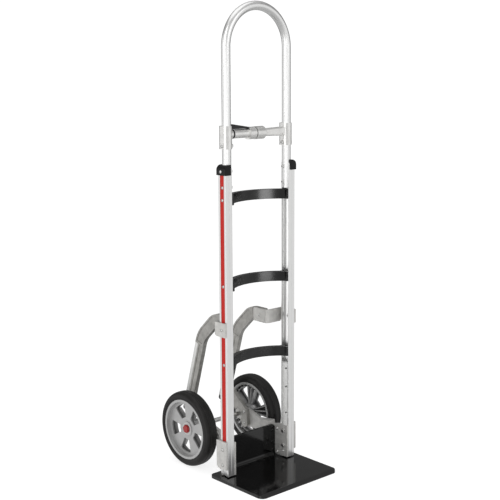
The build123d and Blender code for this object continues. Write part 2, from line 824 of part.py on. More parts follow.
def hub_window(angle):
    wedge = Polygon((0, 0), (2 * rim_radius, -2 * rim_radius * tan(radians(window_angle / 2))),
                    (2 * rim_radius, 2 * rim_radius * tan(radians(window_angle / 2))), align=None)
    window = (Circle(window_outer) - Circle(window_inner)) & wedge
    window = fillet(window.vertices(), window_corner)
    return Rot(0, 0, angle) * window


def make_hub():
    body = turned(ring_section(rim_in, rim_out, rim_floor, rim_radius))
    ridge = ring_section(wheel_x - rim_ridge_width / 2, wheel_x + rim_ridge_width / 2,
                         rim_floor, rim_radius + rim_ridge)
    body += turned(ridge)
    body += turned(ring_section(hub_in, hub_out, bearing_diameter / 2, hub_radius))
    body += turned(ring_section(disc_in, disc_out, hub_radius - hub_overlap, rim_radius - hub_overlap))
    pocket_outer = rim_floor - pocket_ring_gap
    body += turned(ring_section(disc_in - pocket_ring_depth, disc_in + hub_overlap,
                                pocket_outer - pocket_ring_wall, pocket_outer))
    step = 360.0 / spoke_count
    for spoke in range(spoke_count):
        for rib in range(rib_count):
            turn = window_start + step / 2 + step * spoke + rib_turn * (rib - (rib_count - 1) / 2)
            rib_box = box(disc_in - rib_depth, disc_in + hub_overlap, -rib_thick / 2, rib_thick / 2,
                          hub_radius - hub_overlap, pocket_outer - pocket_ring_wall / 2)
            body += on_axle(Rot(turn - 90, 0, 0) * rib_box)
    for web in range(pocket_webs):
        web_box = box(disc_in - pocket_ring_depth, disc_in + hub_overlap,
                      -pocket_ring_wall / 2, pocket_ring_wall / 2,
                      pocket_outer - pocket_ring_wall / 2, rim_floor + hub_overlap)
        body += on_axle(Rot(web * 360.0 / pocket_webs, 0, 0) * web_box)
    for spoke in range(spoke_count):
        window = Plane.YZ.offset(disc_in) * hub_window(window_start + step * spoke)
        body -= on_axle(extrude(window, amount=disc_thick))
    return body


def make_bearings():
    bore = axle_diameter / 2 + axle_play
    outer = ring_section(hub_out - bearing_width, hub_out, bore, bearing_diameter / 2)
    inner = ring_section(hub_in, hub_in + bearing_width, bore, bearing_diameter / 2)
    return [turned(outer), turned(inner)]


def make_spacer():
    bore = axle_diameter / 2 + axle_play
    return turned(ring_section(hub_in + bearing_width, hub_out - bearing_width, bore, spacer_diameter / 2))


def make_hub_cap():
    rim = hub_cap_radius + hub_cap_wall
    shell = ring_section(hub_out, hub_out + hub_cap_height, 0, rim)
    shell -= ring_section(hub_out, hub_out + hub_cap_height - hub_cap_wall, 0, hub_cap_radius)
    cap = turned(shell)
    crown = cap.edges().filter_by(GeomType.CIRCLE).sort_by(Axis.X)[-1]
    return fillet(crown, hub_cap_corner)


def make_nose():
    half = nose_width / 2
    outline = Pos(0, (nose_front + nose_back) / 2) * Rectangle(nose_width, nose_length)
    front = outline.vertices().group_by(Axis.Y)[0]
    outline = fillet(front, nose_front_corner)
    back = outline.vertices().group_by(Axis.Y)[-1]
    outline = fillet(back, nose_back_corner)
    nose = floor_plate(outline, 0, nose_thick)
    wedge = Polygon((nose_front, nose_thick), (nose_front + nose_bevel_run, nose_thick),
                    (nose_front, nose_thick - nose_bevel_drop), align=None)
    nose -= side_plate(wedge, -half, half)
    panel_half = inner_leg_face - panel_play
    panel = box(-panel_half, panel_half, panel_front, nose_back, 0, panel_top)
    bend = Pos(panel_front - panel_bend / 2, nose_thick + panel_bend / 2) * Rectangle(panel_bend, panel_bend)
    bend -= Pos(panel_front - panel_bend, nose_thick + panel_bend) * Circle(panel_bend)
    nose += panel + side_plate(bend, -panel_half, panel_half)
    for side in (-1, 1):
        notch = Polygon((side * panel_half, panel_top), (side * (panel_half - panel_notch), panel_top),
                        (side * panel_half, panel_top - panel_notch), align=None)
        nose -= extrude(Plane.XZ.offset(-nose_back) * notch, amount=panel_thick)
        for height in nose_bolt_heights:
            nose -= rod_y(bolt_hole, side * nose_bolt_x, panel_front, nose_back, height)
    return nose


def make_nose_bolts():
    pieces = []
    tip = nose_back + flange_thick - bolt_tip
    for height in nose_bolt_heights:
        bolt = rod_y(head_diameter / 2, nose_bolt_x, panel_front - head_height, panel_front, height)
        bolt = chamfer(bolt.edges().filter_by(GeomType.CIRCLE).sort_by(Axis.Y)[0], head_chamfer)
        pieces.append(bolt + rod_y(bolt_diameter / 2, nose_bolt_x, panel_front, tip, height))
    return both_sides(pieces)


to_origin = Pos(0, -truck_middle, 0)
os.makedirs("parts", exist_ok=True)


def save(name, piece):
    solids = piece if isinstance(piece, list) else [piece]
    placed = [to_origin * solid for solid in solids]
    export_step(placed[0] if len(placed) == 1 else Compound(children=placed), f"parts/{name}.step")


def save_pair(name, piece):
    pieces = piece if isinstance(piece, list) else [piece]
    save(f"right_{name}", pieces)
    save(f"left_{name}", [left_side(solid) for solid in pieces])


save_pair("rail", make_rail())
save_pair("stripe", make_stripe())
save_pair("rail_cap", make_cap())
save_pair("channel_tube", make_channel_tube())
save("loop_handle", make_loop_handle())
save("loop_bolts", make_loop_bolts())
save("upper_crossbar", make_crossbar(upper_bar_height))
save("middle_crossbar", make_crossbar(middle_bar_height))
save("lower_crossbar", make_crossbar(lower_bar_height))
save("crossbar_bolts", make_crossbar_bolts())
save("left_brace_clamp", make_left_clamp())
save("right_brace_clamp", make_right_clamp())
save("brace_clamp_bolts", make_clamp_bolts())
save("brace_ring", make_brace_ring())
save("latch_lever", make_lever())
save("latch_lever_pin", make_lever_pin())
save_pair("upper_bracket", make_upper_bracket())
save("upper_bracket_bolts", make_upper_bracket_bolts())
save_pair("stair_climber", make_climber())
save_pair("wear_strip", make_strip())
save("wear_strip_stops", make_strip_stops())
save("climber_bolts", make_climber_bolts())
save_pair("wheel_bracket", make_wheel_bracket())
save("wheel_bracket_bolts", make_bracket_bolts())
save("axle", make_axle())
save("axle_washers", make_axle_washers())
save("axle_rings", make_axle_rings())
save_pair("hub", make_hub())
save_pair("tyre", make_tyre())
save_pair("bearings", make_bearings())
save_pair("bearing_spacer", make_spacer())
save_pair("hub_cap", make_hub_cap())
save("nose_plate", make_nose())
save("nose_bolts", make_nose_bolts())
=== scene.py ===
import bmesh
import bpy
import json
from math import atan2, cos, hypot, pi, radians
from mathutils import Matrix, Vector


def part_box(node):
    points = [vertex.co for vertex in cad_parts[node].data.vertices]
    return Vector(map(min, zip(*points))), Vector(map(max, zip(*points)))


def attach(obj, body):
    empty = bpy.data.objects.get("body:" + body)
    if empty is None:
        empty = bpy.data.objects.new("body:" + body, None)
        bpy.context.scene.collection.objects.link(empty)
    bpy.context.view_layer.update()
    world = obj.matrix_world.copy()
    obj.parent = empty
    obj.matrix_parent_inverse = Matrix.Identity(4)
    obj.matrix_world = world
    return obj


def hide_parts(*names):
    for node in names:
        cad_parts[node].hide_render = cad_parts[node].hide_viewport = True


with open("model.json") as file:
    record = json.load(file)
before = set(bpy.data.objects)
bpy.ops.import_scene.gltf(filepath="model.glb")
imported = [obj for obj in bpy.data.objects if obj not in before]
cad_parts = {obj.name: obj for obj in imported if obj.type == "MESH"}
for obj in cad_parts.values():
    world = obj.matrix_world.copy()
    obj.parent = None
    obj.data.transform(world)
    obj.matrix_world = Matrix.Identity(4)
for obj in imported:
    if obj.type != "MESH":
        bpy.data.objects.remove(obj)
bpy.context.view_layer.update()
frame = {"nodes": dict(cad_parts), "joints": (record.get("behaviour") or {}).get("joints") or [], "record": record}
nodes = frame["nodes"]
record = frame["record"]
scene = bpy.context.scene
mm = 0.001
slotOf = {part["node"]: part["material_slot"] for part in record["subparts"]}
bodyOf = {node: body for body, members in record["behaviour"]["bodies"].items() for node in members}
jointAt = {joint["child"]: Vector(joint["pos_m"]) for joint in frame["joints"]}
outwardOf = {"left": -1, "right": 1}
print("frame loaded:", len(nodes), "nodes")


# Socket maths as plain expressions: 1 - mask, grain * 0.2 + 0.4
class Wire:
    def __init__(self, finish, socket):
        self.finish = finish
        self.socket = socket

    def maths(self, operation, first, second):
        return self.finish.node("Math", {"operation": operation}, {0: first, 1: second})

    def __add__(self, other):
        return self.maths("ADD", self, other)

    def __sub__(self, other):
        return self.maths("SUBTRACT", self, other)

    def __rsub__(self, other):
        return self.maths("SUBTRACT", other, self)

    def __mul__(self, other):
        return self.maths("MULTIPLY", self, other)

    def __abs__(self):
        return self.finish.node("Math", {"operation": "ABSOLUTE"}, {0: self})

    def root(self):
        return self.finish.node("Math", {"operation": "SQRT"}, {0: self})


class Finish:
    def __init__(self, name):
        self.material = bpy.data.materials.new(name)
        self.material.use_nodes = True
        self.tree = self.material.node_tree
        self.shader = self.tree.nodes["Principled BSDF"]
        self.place = self.node("TexCoord", output="Object")

    # Any node: its kind, its settings, then the values or wires of its sockets
    def node(self, kind, settings=None, sockets=None, output=0):
        made = self.tree.nodes.new("ShaderNode" + kind)
        for name, value in (settings or {}).items():
            setattr(made, name, value)
        for key, value in (sockets or {}).items():
            self.plug(made.inputs[key], value)
        return Wire(self, made.outputs[output])

    def plug(self, socket, value):
        if isinstance(value, Wire):
            self.tree.links.new(value.socket, socket)
        else:
            socket.default_value = value

    def axes(self):
        split = self.node("SeparateXYZ", None, {0: self.place}).socket.node
        return [Wire(self, split.outputs[axis]) for axis in "XYZ"]

    # Noise: the size of its grains in millimetres, its detail and its scale along each axis
    def noise(self, size, detail, stretch=(1, 1, 1)):
        spot = self.node("Mapping", None, {"Vector": self.place, "Scale": stretch})
        return self.node("TexNoise", None, {"Vector": spot, "Scale": 1 / (size * mm), "Detail": detail})

    # Rises from 0 to 1 as the value goes from low to high
    def between(self, value, low, high):
        return self.node("MapRange", {"clamp": True}, {"Value": value, "From Min": low, "From Max": high})

    # A colour between two others, each a wire or three numbers
    def tint(self, share, first, second):
        ends = [color if isinstance(color, Wire) else (*color, 1) for color in (first, second)]
        return self.node("Mix", {"data_type": "RGBA"}, {0: share, 6: ends[0], 7: ends[1]}, output=2)

    # 1 on the rounded edges of a softened piece, 0 elsewhere
    def roundedEdges(self):
        return self.node("Attribute", {"attribute_name": "roundedEdges"}, output="Fac")

    # Relief: its depth in millimetres and its strength
    def bump(self, height, depth, strength):
        return self.node("Bump", None, {"Height": height, "Distance": depth * mm, "Strength": strength})

    def surface(self, **sockets):
        names = {"color": "Base Color", "rough": "Roughness", "metal": "Metallic", "normal": "Normal",
                 "specular": "Specular IOR Level"}
        for key, value in sockets.items():
            self.plug(self.shader.inputs[names[key]], value)
        return self.material


# Drawn lines run along the extrusion, under faint clouds and handling scuffs
railFinish = {"pale": (0.88, 0.88, 0.87), "dull": (0.80, 0.80, 0.80), "rough": 0.26,
              "lines": (3.2, 2.0, (1, 1, 0.008)), "lineRelief": (0.004, 0.25), "clouds": (60, 2.0),
              "scuffs": (38, 3.0), "scuffRange": (0.50, 0.75)}


def drawnAluminium(name, place=None):
    finish = Finish(name)
    if place:
        finish.place = finish.node("Attribute", {"attribute_name": place}, output="Vector")
    lines = finish.noise(*railFinish["lines"])
    clouds = finish.noise(*railFinish["clouds"])
    scuffs = finish.between(finish.noise(*railFinish["scuffs"]), *railFinish["scuffRange"])
    color = finish.tint(lines * 0.6 + clouds * 0.4, railFinish["dull"], railFinish["pale"])
    rough = lines * 0.05 + scuffs * 0.03 + railFinish["rough"]
    return finish.surface(color=color, rough=rough, metal=1.0,
                          normal=finish.bump(lines, *railFinish["lineRelief"]))


# Sand-cast skins, blotched and grainy, with a colour of their own on the rounded edges: worn on the brackets and
# the brace, painted shade on the stair climbers
castFinish = {
    # The climbers' edge colour is painted shade: dark lines along their rounded edges
    "climberCast": {"pale": (0.52, 0.51, 0.485), "dark": (0.30, 0.295, 0.28), "edgeWearAndShade": (0.15, 0.147, 0.14),
                    "rough": 0.32, "metal": 0.9},
    "strapCast": {"pale": (0.70, 0.69, 0.665), "dark": (0.54, 0.535, 0.515), "edgeWearAndShade": (0.60, 0.59, 0.57),
                  "rough": 0.38, "metal": 0.5},
    "bracketCast": {"pale": (0.66, 0.65, 0.63), "dark": (0.47, 0.465, 0.45), "edgeWearAndShade": (0.72, 0.71, 0.69),
                    "rough": 0.34, "metal": 0.3},
    "braceCast": {"pale": (0.90, 0.895, 0.88), "dark": (0.74, 0.735, 0.72), "edgeWearAndShade": (0.92, 0.915, 0.90),
                  "rough": 0.21, "metal": 0.95},
}
castGrain = {"sand": (1.6, 4.0), "sandRelief": (0.2, 0.5), "clouds": (16, 5.0), "cloudRange": (0.30, 0.70),
             "wear": (9, 3.0), "wearRange": (0.35, 0.65)}


def castAluminium(name):
    skin = castFinish[name]
    finish = Finish(name)
    sand = finish.noise(*castGrain["sand"])
    clouds = finish.between(finish.noise(*castGrain["clouds"]), *castGrain["cloudRange"])
    wear = finish.roundedEdges() * finish.between(finish.noise(*castGrain["wear"]), *castGrain["wearRange"])
    blotched = finish.tint(clouds * 0.75 + sand * 0.25, skin["dark"], skin["pale"])
    # On the stair climbers this edge mark is painted shade, dark lines along the rounded edges; on the other
    # castings it is wear
    color = finish.tint(wear, blotched, skin["edgeWearAndShade"])
    rough = sand * 0.16 + clouds * 0.06 + skin["rough"] - wear * 0.08
    return finish.surface(color=color, rough=rough, metal=skin["metal"],
                          normal=finish.bump(sand, *castGrain["sandRelief"]))


# Mill finish outside and, below the rounded crown, a painted shade, near black, in the bore and in the holes that
# lead to it
channelFinish = {"axisX": 127.6, "skin": 13.7, "skinFade": 0.3, "crown": 338.0, "crownFade": 1.0,
                 "pale": (0.72, 0.72, 0.71), "dull": (0.64, 0.64, 0.63), "bore": (0.01, 0.01, 0.01),
                 "lines": (2.0, 3.0, (1, 1, 0.02)), "lineRelief": (0.02, 0.3), "rough": 0.5, "metal": 0.2}


def channelMill():
    mill = channelFinish
    finish = Finish("channelMill")
    side, depth, height = finish.axes()
    across = abs(side) - mill["axisX"] * mm
    radius = (across * across + depth * depth).root()
    below = 1 - finish.between(height, mill["crown"] * mm, (mill["crown"] + mill["crownFade"]) * mm)
    outside = finish.between(radius, (mill["skin"] - mill["skinFade"]) * mm, mill["skin"] * mm)
    lines = finish.noise(*mill["lines"])
    drawn = finish.tint(lines, mill["dull"], mill["pale"])
    # Painted shade: near black inside the tube's skin radius, below the crown
    color = finish.tint(below * (1 - outside), drawn, mill["bore"])
    return finish.surface(color=color, rough=lines * 0.1 + mill["rough"], metal=mill["metal"],
                          normal=finish.bump(lines, *mill["lineRelief"]))


inlayFinish = {"red": (0.47, 0.011, 0.007), "paler": (0.54, 0.022, 0.014), "rough": 0.30, "specular": 0.2,
               "clouds": (40, 3.0, (1, 1, 0.3)), "grain": (0.9, 2.0), "grainRelief": (0.03, 0.4)}


def redInlay():
    finish = Finish("redInlay")
    clouds = finish.noise(*inlayFinish["clouds"])
    grain = finish.noise(*inlayFinish["grain"])
    color = finish.tint(clouds, inlayFinish["red"], inlayFinish["paler"])
    return finish.surface(color=color, rough=grain * 0.12 + inlayFinish["rough"],
                          specular=inlayFinish["specular"],
                          normal=finish.bump(grain, *inlayFinish["grainRelief"]))


# Black coats and mouldings: grey level when clean and when dusty, and the ripples of the skin
coatFinish = {
    "mouldedCap": {"black": 0.004, "dusty": 0.012, "rough": 0.22, "peel": (0.9, 2.0), "specular": 0.22},
    "barCoat": {"black": 0.003, "dusty": 0.016, "rough": 0.16, "peel": (1.4, 2.0), "specular": 0.36},
    "noseCoat": {"black": 0.003, "dusty": 0.008, "rough": 0.02, "peel": (3.0, 2.0), "specular": 0.45},
    "mouldedBlack": {"black": 0.005, "dusty": 0.018, "rough": 0.28, "peel": (0.9, 2.0), "specular": 0.45},
}
coatGrain = {"clouds": (45, 4.0), "dustRange": (0.45, 0.8), "wear": (6, 3.0), "wearRange": (0.45, 0.7),
             "peelRelief": (0.06, 0.5)}


def blackCoat(name):
    coat = coatFinish[name]
    finish = Finish(name)
    skin = finish.noise(*coat["peel"])
    clouds = finish.noise(*coatGrain["clouds"])
    wear = finish.roundedEdges() * finish.between(finish.noise(*coatGrain["wear"]), *coatGrain["wearRange"])
    dust = finish.between(clouds, *coatGrain["dustRange"]) * 0.6 + wear * 0.4
    color = finish.tint(dust, [coat["black"]] * 3, [coat["dusty"]] * 3)
    return finish.surface(color=color, rough=clouds * 0.10 + skin * 0.06 + coat["rough"],
                          specular=coat["specular"], normal=finish.bump(skin, *coatGrain["peelRelief"]))


tyreFinish = {"black": (0.010, 0.0094, 0.0090), "dusty": (0.020, 0.0188, 0.0180), "rough": 0.38,
              "specular": 0.26, "skin": (0.8, 3.0), "skinRelief": (0.06, 0.5), "dust": (22, 5.0),
              "dustRange": (0.45, 0.75)}


def tyreRubber():
    finish = Finish("tyreRubber")
    skin = finish.noise(*tyreFinish["skin"])
    dust = finish.between(finish.noise(*tyreFinish["dust"]), *tyreFinish["dustRange"])
    color = finish.tint(dust * 0.7, tyreFinish["black"], tyreFinish["dusty"])
    return finish.surface(color=color, rough=dust * 0.10 + tyreFinish["rough"],
                          specular=tyreFinish["specular"],
                          normal=finish.bump(skin, *tyreFinish["skinRelief"]))


# Grey paint with a painted shade, near black, between the ribs and in the windows, a painted highlight, paler,
# along the rounded edges, and rubbed pale on the outer face of the boss
hubFinish = {"ribEdge": 132.0, "floor": 143.0, "discIn": 145.0, "discOut": 152.2, "boss": 20.0,
             "bossFade": 0.5, "paint": (0.38, 0.38, 0.38), "paler": (0.62, 0.62, 0.61),
             "rubbed": (0.70, 0.69, 0.66), "paintedCavityShade": (0.05, 0.05, 0.05), "rough": 0.32, "metal": 0.4,
             "skin": (1.1, 3.0), "skinRelief": (0.06, 0.5), "clouds": (28, 4.0)}


def hubPaint():
    finish = Finish("hubPaint")
    skin = finish.noise(*hubFinish["skin"])
    clouds = finish.noise(*hubFinish["clouds"])
    side, depth, height = finish.axes()
    outward = abs(side)
    sunk = finish.between(outward, hubFinish["ribEdge"] * mm, hubFinish["floor"] * mm)
    outer = finish.between(outward, hubFinish["discIn"] * mm, hubFinish["discOut"] * mm)
    back = depth - jointAt["left_wheel"].y
    up = height - jointAt["left_wheel"].z
    radius = (back * back + up * up).root()
    bossEdge = hubFinish["boss"] - hubFinish["bossFade"]
    boss = outer * (1 - finish.between(radius, bossEdge * mm, hubFinish["boss"] * mm))
    # Paler where the clouds are high, and a painted highlight, paler, along the rounded edges
    paint = finish.tint(clouds * 0.5 + finish.roundedEdges() * 0.5, hubFinish["paint"], hubFinish["paler"])
    rubbed = finish.tint(boss * 0.8, paint, hubFinish["rubbed"])
    # Painted shade: near black in the sunk ring between the ribs and in the windows
    color = finish.tint(sunk * (1 - outer) * 0.85, rubbed, hubFinish["paintedCavityShade"])
    return finish.surface(color=color, rough=clouds * 0.12 + hubFinish["rough"], metal=hubFinish["metal"],
                          normal=finish.bump(skin, *hubFinish["skinRelief"]))


capFinish = {"deep": (0.25, 0.010, 0.010), "bright": (0.36, 0.020, 0.018), "rough": 0.12,
             "clouds": (6, 3.0), "cloudRelief": (0.05, 0.3)}


def capRed():
    finish = Finish("capRed")
    clouds = finish.noise(*capFinish["clouds"])
    color = finish.tint(clouds, capFinish["deep"], capFinish["bright"])
    return finish.surface(color=color, rough=clouds * 0.1 + capFinish["rough"],
                          normal=finish.bump(clouds, *capFinish["cloudRelief"]))


# Pale nylon with scrapes along its length
nylonFinish = {"pale": (0.70, 0.70, 0.69), "scraped": (0.54, 0.54, 0.53), "rough": 0.36,
               "clouds": (18, 4.0, (1, 1, 0.4)), "scrapes": (2.2, 4.0, (1, 1, 0.06)),
               "scrapeRange": (0.52, 0.72), "scrapeRelief": (0.05, 0.4)}


def wearNylon():
    finish = Finish("wearNylon")
    clouds = finish.noise(*nylonFinish["clouds"])
    scrapes = finish.between(finish.noise(*nylonFinish["scrapes"]), *nylonFinish["scrapeRange"])
    color = finish.tint(clouds * 0.6 + scrapes * 0.4, nylonFinish["pale"], nylonFinish["scraped"])
    return finish.surface(color=color, rough=scrapes * 0.2 + nylonFinish["rough"],
                          normal=finish.bump(scrapes, *nylonFinish["scrapeRelief"]))


steelFinish = {
    "platedSteel": {"pale": (0.80, 0.80, 0.79), "dull": (0.62, 0.62, 0.61), "rough": 0.21},
    "bearingSteel": {"pale": (0.62, 0.62, 0.62), "dull": (0.48, 0.48, 0.48), "rough": 0.27},
}
steelGrain = {"skin": (1.6, 3.0), "skinRelief": (0.02, 0.4), "clouds": (9, 4.0)}


def brightSteel(name):
    steel = steelFinish[name]
    finish = Finish(name)
    skin = finish.noise(*steelGrain["skin"])
    clouds = finish.noise(*steelGrain["clouds"])
    color = finish.tint(clouds * 0.7 + skin * 0.3, steel["dull"], steel["pale"])
    return finish.surface(color=color, rough=clouds * 0.14 + steel["rough"], metal=1.0,
                          normal=finish.bump(skin, *steelGrain["skinRelief"]))


materialOf = {
    "extruded_aluminium": drawnAluminium("extrudedAluminium"),
    "cast_aluminium": castAluminium("climberCast"),
    "red_stripe": redInlay(),
    "cap_plastic": blackCoat("mouldedCap"),
    "black_bar": blackCoat("barCoat"),
    "black_nose": blackCoat("noseCoat"),
    "black_plastic": blackCoat("mouldedBlack"),
    "plated_steel": brightSteel("platedSteel"),
    "bearing_steel": brightSteel("bearingSteel"),
    "tyre": tyreRubber(),
    "grey_hub": hubPaint(),
    "red_cap": capRed(),
    "nylon": wearNylon(),
}
# Castings and tubes that share a slot but not a look, by the end of the node's name
ownFinish = {
    "brace_clamp": castAluminium("braceCast"),
    "upper_bracket": castAluminium("strapCast"),
    "wheel_bracket": castAluminium("bracketCast"),
    "channel_tube": channelMill(),
}
for name, node in nodes.items():
    node.data.materials.clear()
    node.data.materials.append(materialOf[slotOf[name]])
print("finishes ready:", len(materialOf) + len(ownFinish))


def finishFor(node):
    own = [finish for ending, finish in ownFinish.items() if node.endswith(ending)]
    return own[0] if own else materialOf[slotOf[node]]


shading = {"creaseDegrees": 38}


# Every finished shape becomes an object here: smooth, on its body and in place of its CAD node
def addPiece(name, shape, node, finish=None, weighted=True):
    for face in shape.faces:
        face.smooth = True
    mesh = bpy.data.meshes.new(name)
    shape.to_mesh(mesh)
    shape.free()
    piece = bpy.data.objects.new(name, mesh)
    scene.collection.objects.link(piece)
    mesh.materials.append(finish or finishFor(node))
    mesh.set_sharp_from_angle(angle=radians(shading["creaseDegrees"]))
    if weighted:
        piece.modifiers.new("evenShading", "WEIGHTED_NORMAL").keep_sharp = True
    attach(piece, bodyOf[node])
    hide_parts(node)


# Adds a finished shape to a larger one
def absorb(whole, shape):
    mesh = bpy.data.meshes.new("loosePart")
    shape.to_mesh(mesh)
    shape.free()
    whole.from_mesh(mesh)
    bpy.data.meshes.remove(mesh)


def onlyVerts(items):
    return [item for item in items if isinstance(item, bmesh.types.BMVert)]


def onlyEdges(items):
    return [item for item in items if isinstance(item, bmesh.types.BMEdge)]


# Edge rounding in millimetres for the pieces whose CAD shape is kept
edgeRounding = {
    "left_rail": 0.5, "right_rail": 0.5, "left_stripe": 0.3, "right_stripe": 0.3,
    "left_channel_tube": 0.6, "right_channel_tube": 0.6,
    "upper_crossbar": 1.3, "middle_crossbar": 1.3, "lower_crossbar": 1.3,
    "left_brace_clamp": 0.9, "right_brace_clamp": 0.9, "brace_ring": 0.5, "latch_lever": 1.6,
    "latch_lever_pin": 0.4, "left_upper_bracket": 1.1, "right_upper_bracket": 1.1,
    "left_stair_climber": 1.2, "right_stair_climber": 1.2, "left_wear_strip": 1.2, "right_wear_strip": 1.2,
    "wear_strip_stops": 1.0, "left_wheel_bracket": 1.2, "right_wheel_bracket": 1.2,
    "left_hub": 0.7, "right_hub": 0.7, "axle": 0.4, "axle_washers": 0.3, "axle_rings": 0.25,
    "left_bearing_spacer": 0.4, "right_bearing_spacer": 0.4, "nose_plate": 1.6,
}
edgeRules = {"join": 0.02, "flatDegrees": 0.7, "sharpDegrees": 35, "sliver": 0.25, "steps": 2, "weld": 0.01}
railEnd = {"top": 1014.5, "cutReach": 0.001, "shortestEdge": 20.0}
# The climbers' broad walls that don't face sideways get a wider rounding first, along their long edges
climberWall = {"rounding": 2.4, "squareMetres": 40e-6, "shortestEdge": 4.5, "sideways": 0.5}


def joinedCopy(node):
    shape = bmesh.new()
    shape.from_mesh(nodes[node].data)
    bmesh.ops.remove_doubles(shape, verts=shape.verts, dist=edgeRules["join"] * mm)
    return shape


def sharpEdges(shape, shortest=0.0):
    return [edge for edge in shape.edges
            if len(edge.link_faces) == 2 and edge.calc_length() > shortest * mm
            and edge.calc_face_angle(0.0) > radians(edgeRules["sharpDegrees"])]


def isClimberWall(face):
    return abs(face.normal.x) < climberWall["sideways"] and face.calc_area() >= climberWall["squareMetres"]


# An edge with no sliver at its ends, which would hold back the rounding of the whole piece
def roomy(edge):
    shortest = min(link.calc_length() for vert in edge.verts for link in vert.link_edges)
    return shortest > edgeRules["sliver"] * mm


# Takes off what stands above a height and closes the end
def trimTop(shape, height):
    whole = shape.verts[:] + shape.edges[:] + shape.faces[:]
    cut = bmesh.ops.bisect_plane(shape, geom=whole, dist=railEnd["cutReach"] * mm,
                                 plane_co=(0, 0, height * mm), plane_no=(0, 0, 1),
                                 clear_outer=True)["geom_cut"]
    bmesh.ops.triangle_fill(shape, edges=onlyEdges(cut), use_beauty=True, normal=(0, 0, 1))


# The rounding is marked so that a finish can colour it: as wear on most pieces, as painted shade on the stair
# climbers and as a painted highlight on the hubs
def roundEdges(shape, edges, width, wear, clamp):
    rounded = bmesh.ops.bevel(shape, geom=[edge for edge in edges if roomy(edge)], offset=width * mm,
                              offset_type="OFFSET", segments=edgeRules["steps"], profile=0.5,
                              affect="EDGES", clamp_overlap=clamp, material=-1)
    for face in rounded["faces"]:
        face[wear] = 1.0


# A CAD node's copy with rounded edges; a rail ends lower, inside its cap, and keeps its short edges sharp
def addSoftened(node):
    isRail = node.endswith("rail")
    shape = joinedCopy(node)
    if isRail:
        trimTop(shape, railEnd["top"])
    bmesh.ops.dissolve_limit(shape, angle_limit=radians(edgeRules["flatDegrees"]), verts=shape.verts,
                             edges=shape.edges)
    wear = shape.faces.layers.float.new("roundedEdges")
    if node.endswith("stair_climber"):
        walls = [edge for edge in sharpEdges(shape, climberWall["shortestEdge"])
                 if any(isClimberWall(face) for face in edge.link_faces)]
        roundEdges(shape, walls, climberWall["rounding"], wear, clamp=True)
    edges = sharpEdges(shape, railEnd["shortestEdge"] if isRail else 0.0)
    roundEdges(shape, edges, edgeRounding[node], wear, clamp=not isRail)
    bmesh.ops.remove_doubles(shape, verts=shape.verts, dist=edgeRules["weld"] * mm)
    addPiece(node + "Soft", shape, node)


for node in edgeRounding:
    addSoftened(node)
print("softened:", len(edgeRounding), "pieces")

# Moulded cap: a block with one big outer shoulder, closed over the rail's end
railCap = {"shoulder": 17.0, "shoulderSteps": 14, "edge": 1.8, "edgeSteps": 3}


def addRailCap(side, outward):
    low, high = (Vector(corner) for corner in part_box(side + "_rail_cap"))
    middle = (low + high) / 2
    block = Matrix.Translation(middle) @ Matrix.Diagonal((*(high - low), 1))
    shape = bmesh.new()
    bmesh.ops.create_cube(shape, size=1.0, matrix=block)
    shoulder = [edge for edge in shape.edges
                if all(vert.co.z > middle.z and (vert.co.x - middle.x) * outward > 0
                       for vert in edge.verts)]
    bmesh.ops.bevel(shape, geom=shoulder, offset=railCap["shoulder"] * mm,
                    segments=railCap["shoulderSteps"], profile=0.5, affect="EDGES", material=-1)
    bmesh.ops.bevel(shape, geom=sharpEdges(shape), offset=railCap["edge"] * mm,
                    segments=railCap["edgeSteps"], profile=0.5, affect="EDGES", material=-1)
    addPiece(side + "CapMoulded", shape, side + "_rail_cap")


for side, outward in outwardOf.items():
    addRailCap(side, outward)
print("caps moulded")

turning = {"weld": 0.002}


# Spins a line of vertices all the way round an axis and merges the seam and the poles
def spinRound(shape, points, centre, axis, steps):
    lines = [shape.edges.new(pair) for pair in zip(points, points[1:])]
    bmesh.ops.spin(shape, geom=points + lines, cent=centre, axis=axis, angle=2 * pi, steps=steps,
                   use_merge=True)
    bmesh.ops.remove_doubles(shape, verts=shape.verts, dist=turning["weld"] * mm)


# A shape turned round the axle: its profile is pairs of a place along the axle and a radius
def turnedShape(profile, centre, steps):
    shape = bmesh.new()
    points = [shape.verts.new(centre + Vector((place * mm, 0, radius * mm))) for place, radius in profile]
    spinRound(shape, points, centre, (1, 0, 0), steps)
    bmesh.ops.recalc_face_normals(shape, faces=shape.faces)
    return shape


# Tyre section from the middle of the tread to the bead: distance from the middle, then radius
tyre = {"steps": 128,
        "half": [(0.0, 127.0), (6.6, 126.9), (7.3, 126.2), (8.0, 125.7), (8.7, 126.2), (9.4, 126.7),
                 (13.0, 126.0), (17.0, 124.6), (20.2, 122.3), (22.4, 119.6), (23.8, 116.8), (24.0, 116.2),
                 (24.4, 116.0), (24.6, 115.4), (24.9, 112.0), (24.8, 108.8), (24.6, 108.2), (24.2, 108.0),
                 (24.0, 107.4), (23.8, 104.6), (23.2, 102.6), (22.4, 101.6), (21.0, 101.2)]}


def addTyre(side):
    outer = [(-place, radius) for place, radius in reversed(tyre["half"])]
    ring = outer + tyre["half"][1:] + outer[:1]
    shape = turnedShape(ring, jointAt[side + "_wheel"], tyre["steps"])
    addPiece(side + "TyreTurned", shape, side + "_tyre")


# Push-on cap, hollow behind: a flange, a raised rim and a slightly domed face
hubCap = {"seat": 10.7, "steps": 64,
          "profile": [(4.9, 0.0), (4.9, 11.2), (4.5, 11.6), (0.0, 11.6), (0.0, 13.6), (0.5, 14.0),
                      (1.6, 14.0), (2.2, 13.5), (2.5, 12.9), (3.4, 12.7), (5.2, 12.5), (6.1, 12.1),
                      (6.7, 11.3), (6.95, 10.2), (6.8, 9.2), (6.3, 8.7), (6.1, 8.0), (6.2, 5.5),
                      (6.3, 2.6), (6.35, 0.0)]}


